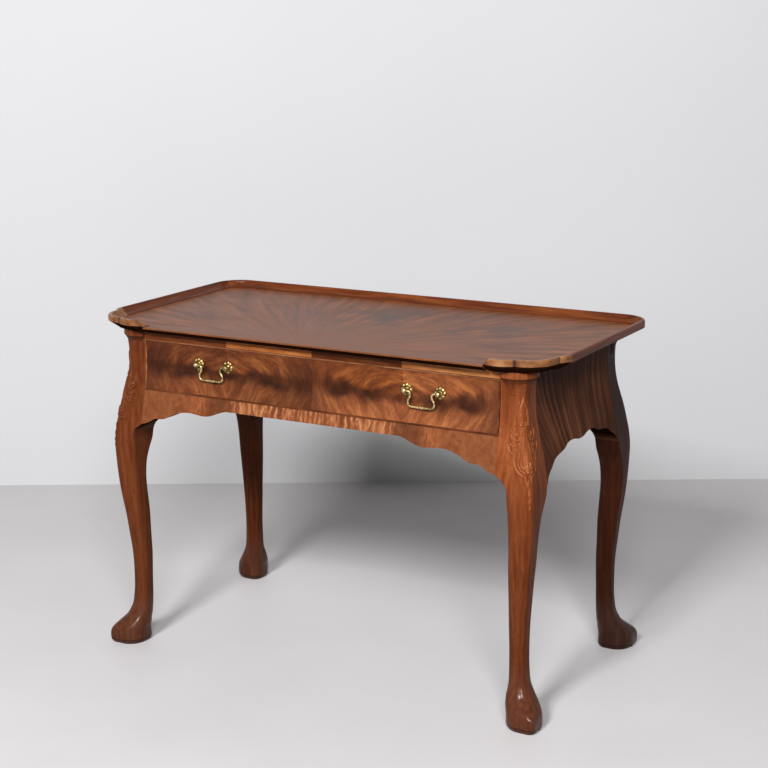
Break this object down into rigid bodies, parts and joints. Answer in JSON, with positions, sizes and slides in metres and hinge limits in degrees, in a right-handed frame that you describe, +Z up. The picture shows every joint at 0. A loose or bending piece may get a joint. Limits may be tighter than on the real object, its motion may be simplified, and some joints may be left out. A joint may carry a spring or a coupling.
{
  "type": "side table",
  "caption": "Tray-top side table on cabriole legs with club feet, a long swelling frieze drawer with swan-neck bail handles, and scrolled aprons.",
  "frame": {"origin": "on the floor, under the centre of the four feet", "axes": "+X along the table's length, -Y the drawer front, +Z up"},
  "size_m": [1.0514, 0.544, 0.72],
  "materials": {
    "mahogany_solid": "French polish, satin gloss",
    "mahogany_top": "waxed polish",
    "mahogany_veneer": "crotch-figured veneer, polished",
    "drawer_lining": "planed oak, unfinished",
    "carcase_wood": "planed softwood, unfinished",
    "handle_brass": "cast and lacquered, aged",
    "screw_steel": "dull"
  },
  "bodies": {
    "table": {"leg_front_left": "mahogany_solid", "leg_front_right": "mahogany_solid", "leg_back_left": "mahogany_solid", "leg_back_right": "mahogany_solid", "top_panel": "mahogany_top", "rim_back": "mahogany_solid", "rim_left": "mahogany_solid", "rim_right": "mahogany_solid", "rim_corner_left": "mahogany_solid", "rim_corner_right": "mahogany_solid", "carved_corner_left": "mahogany_solid", "carved_corner_right": "mahogany_solid", "apron_front": "mahogany_veneer", "apron_back": "mahogany_veneer", "apron_left": "mahogany_veneer", "apron_right": "mahogany_veneer", "rail_front": "mahogany_veneer", "runner_left": "carcase_wood", "runner_right": "carcase_wood", "guide_left": "carcase_wood", "guide_right": "carcase_wood", "kicker_left": "carcase_wood", "kicker_right": "carcase_wood", "drawer_rail": "carcase_wood", "drawer_stops": "carcase_wood", "glue_blocks": "carcase_wood", "top_screws": "screw_steel"},
    "drawer": {"drawer_front": "mahogany_veneer", "veneer_leaf_1": "mahogany_veneer", "veneer_leaf_2": "mahogany_veneer", "veneer_leaf_3": "mahogany_veneer", "veneer_leaf_4": "mahogany_veneer", "bead_top": "mahogany_solid", "bead_bottom": "mahogany_solid", "bead_left": "mahogany_solid", "bead_right": "mahogany_solid", "drawer_side_left": "drawer_lining", "drawer_side_right": "drawer_lining", "drawer_back": "drawer_lining", "drawer_bottom": "drawer_lining", "rosettes_left": "handle_brass", "handle_posts_left": "handle_brass", "handle_nuts_left": "handle_brass", "rosettes_right": "handle_brass", "handle_posts_right": "handle_brass", "handle_nuts_right": "handle_brass"},
    "bail_left": {"bail_left": "handle_brass"},
    "bail_right": {"bail_right": "handle_brass"}
  },
  "joints": [
    {"name": "drawer_slide", "type": "slide", "parent": "table", "child": "drawer", "axis": [0, -1, 0], "range_m": [0, 0.3]},
    {"name": "bail_left_swing", "type": "hinge", "parent": "drawer", "child": "bail_left", "pos_m": [-0.2386, -0.2348, 0.633], "axis": [-1, 0, 0], "range_deg": [0, 90]},
    {"name": "bail_right_swing", "type": "hinge", "parent": "drawer", "child": "bail_right", "pos_m": [0.2476, -0.2348, 0.633], "axis": [-1, 0, 0], "range_deg": [0, 90]}
  ]
}
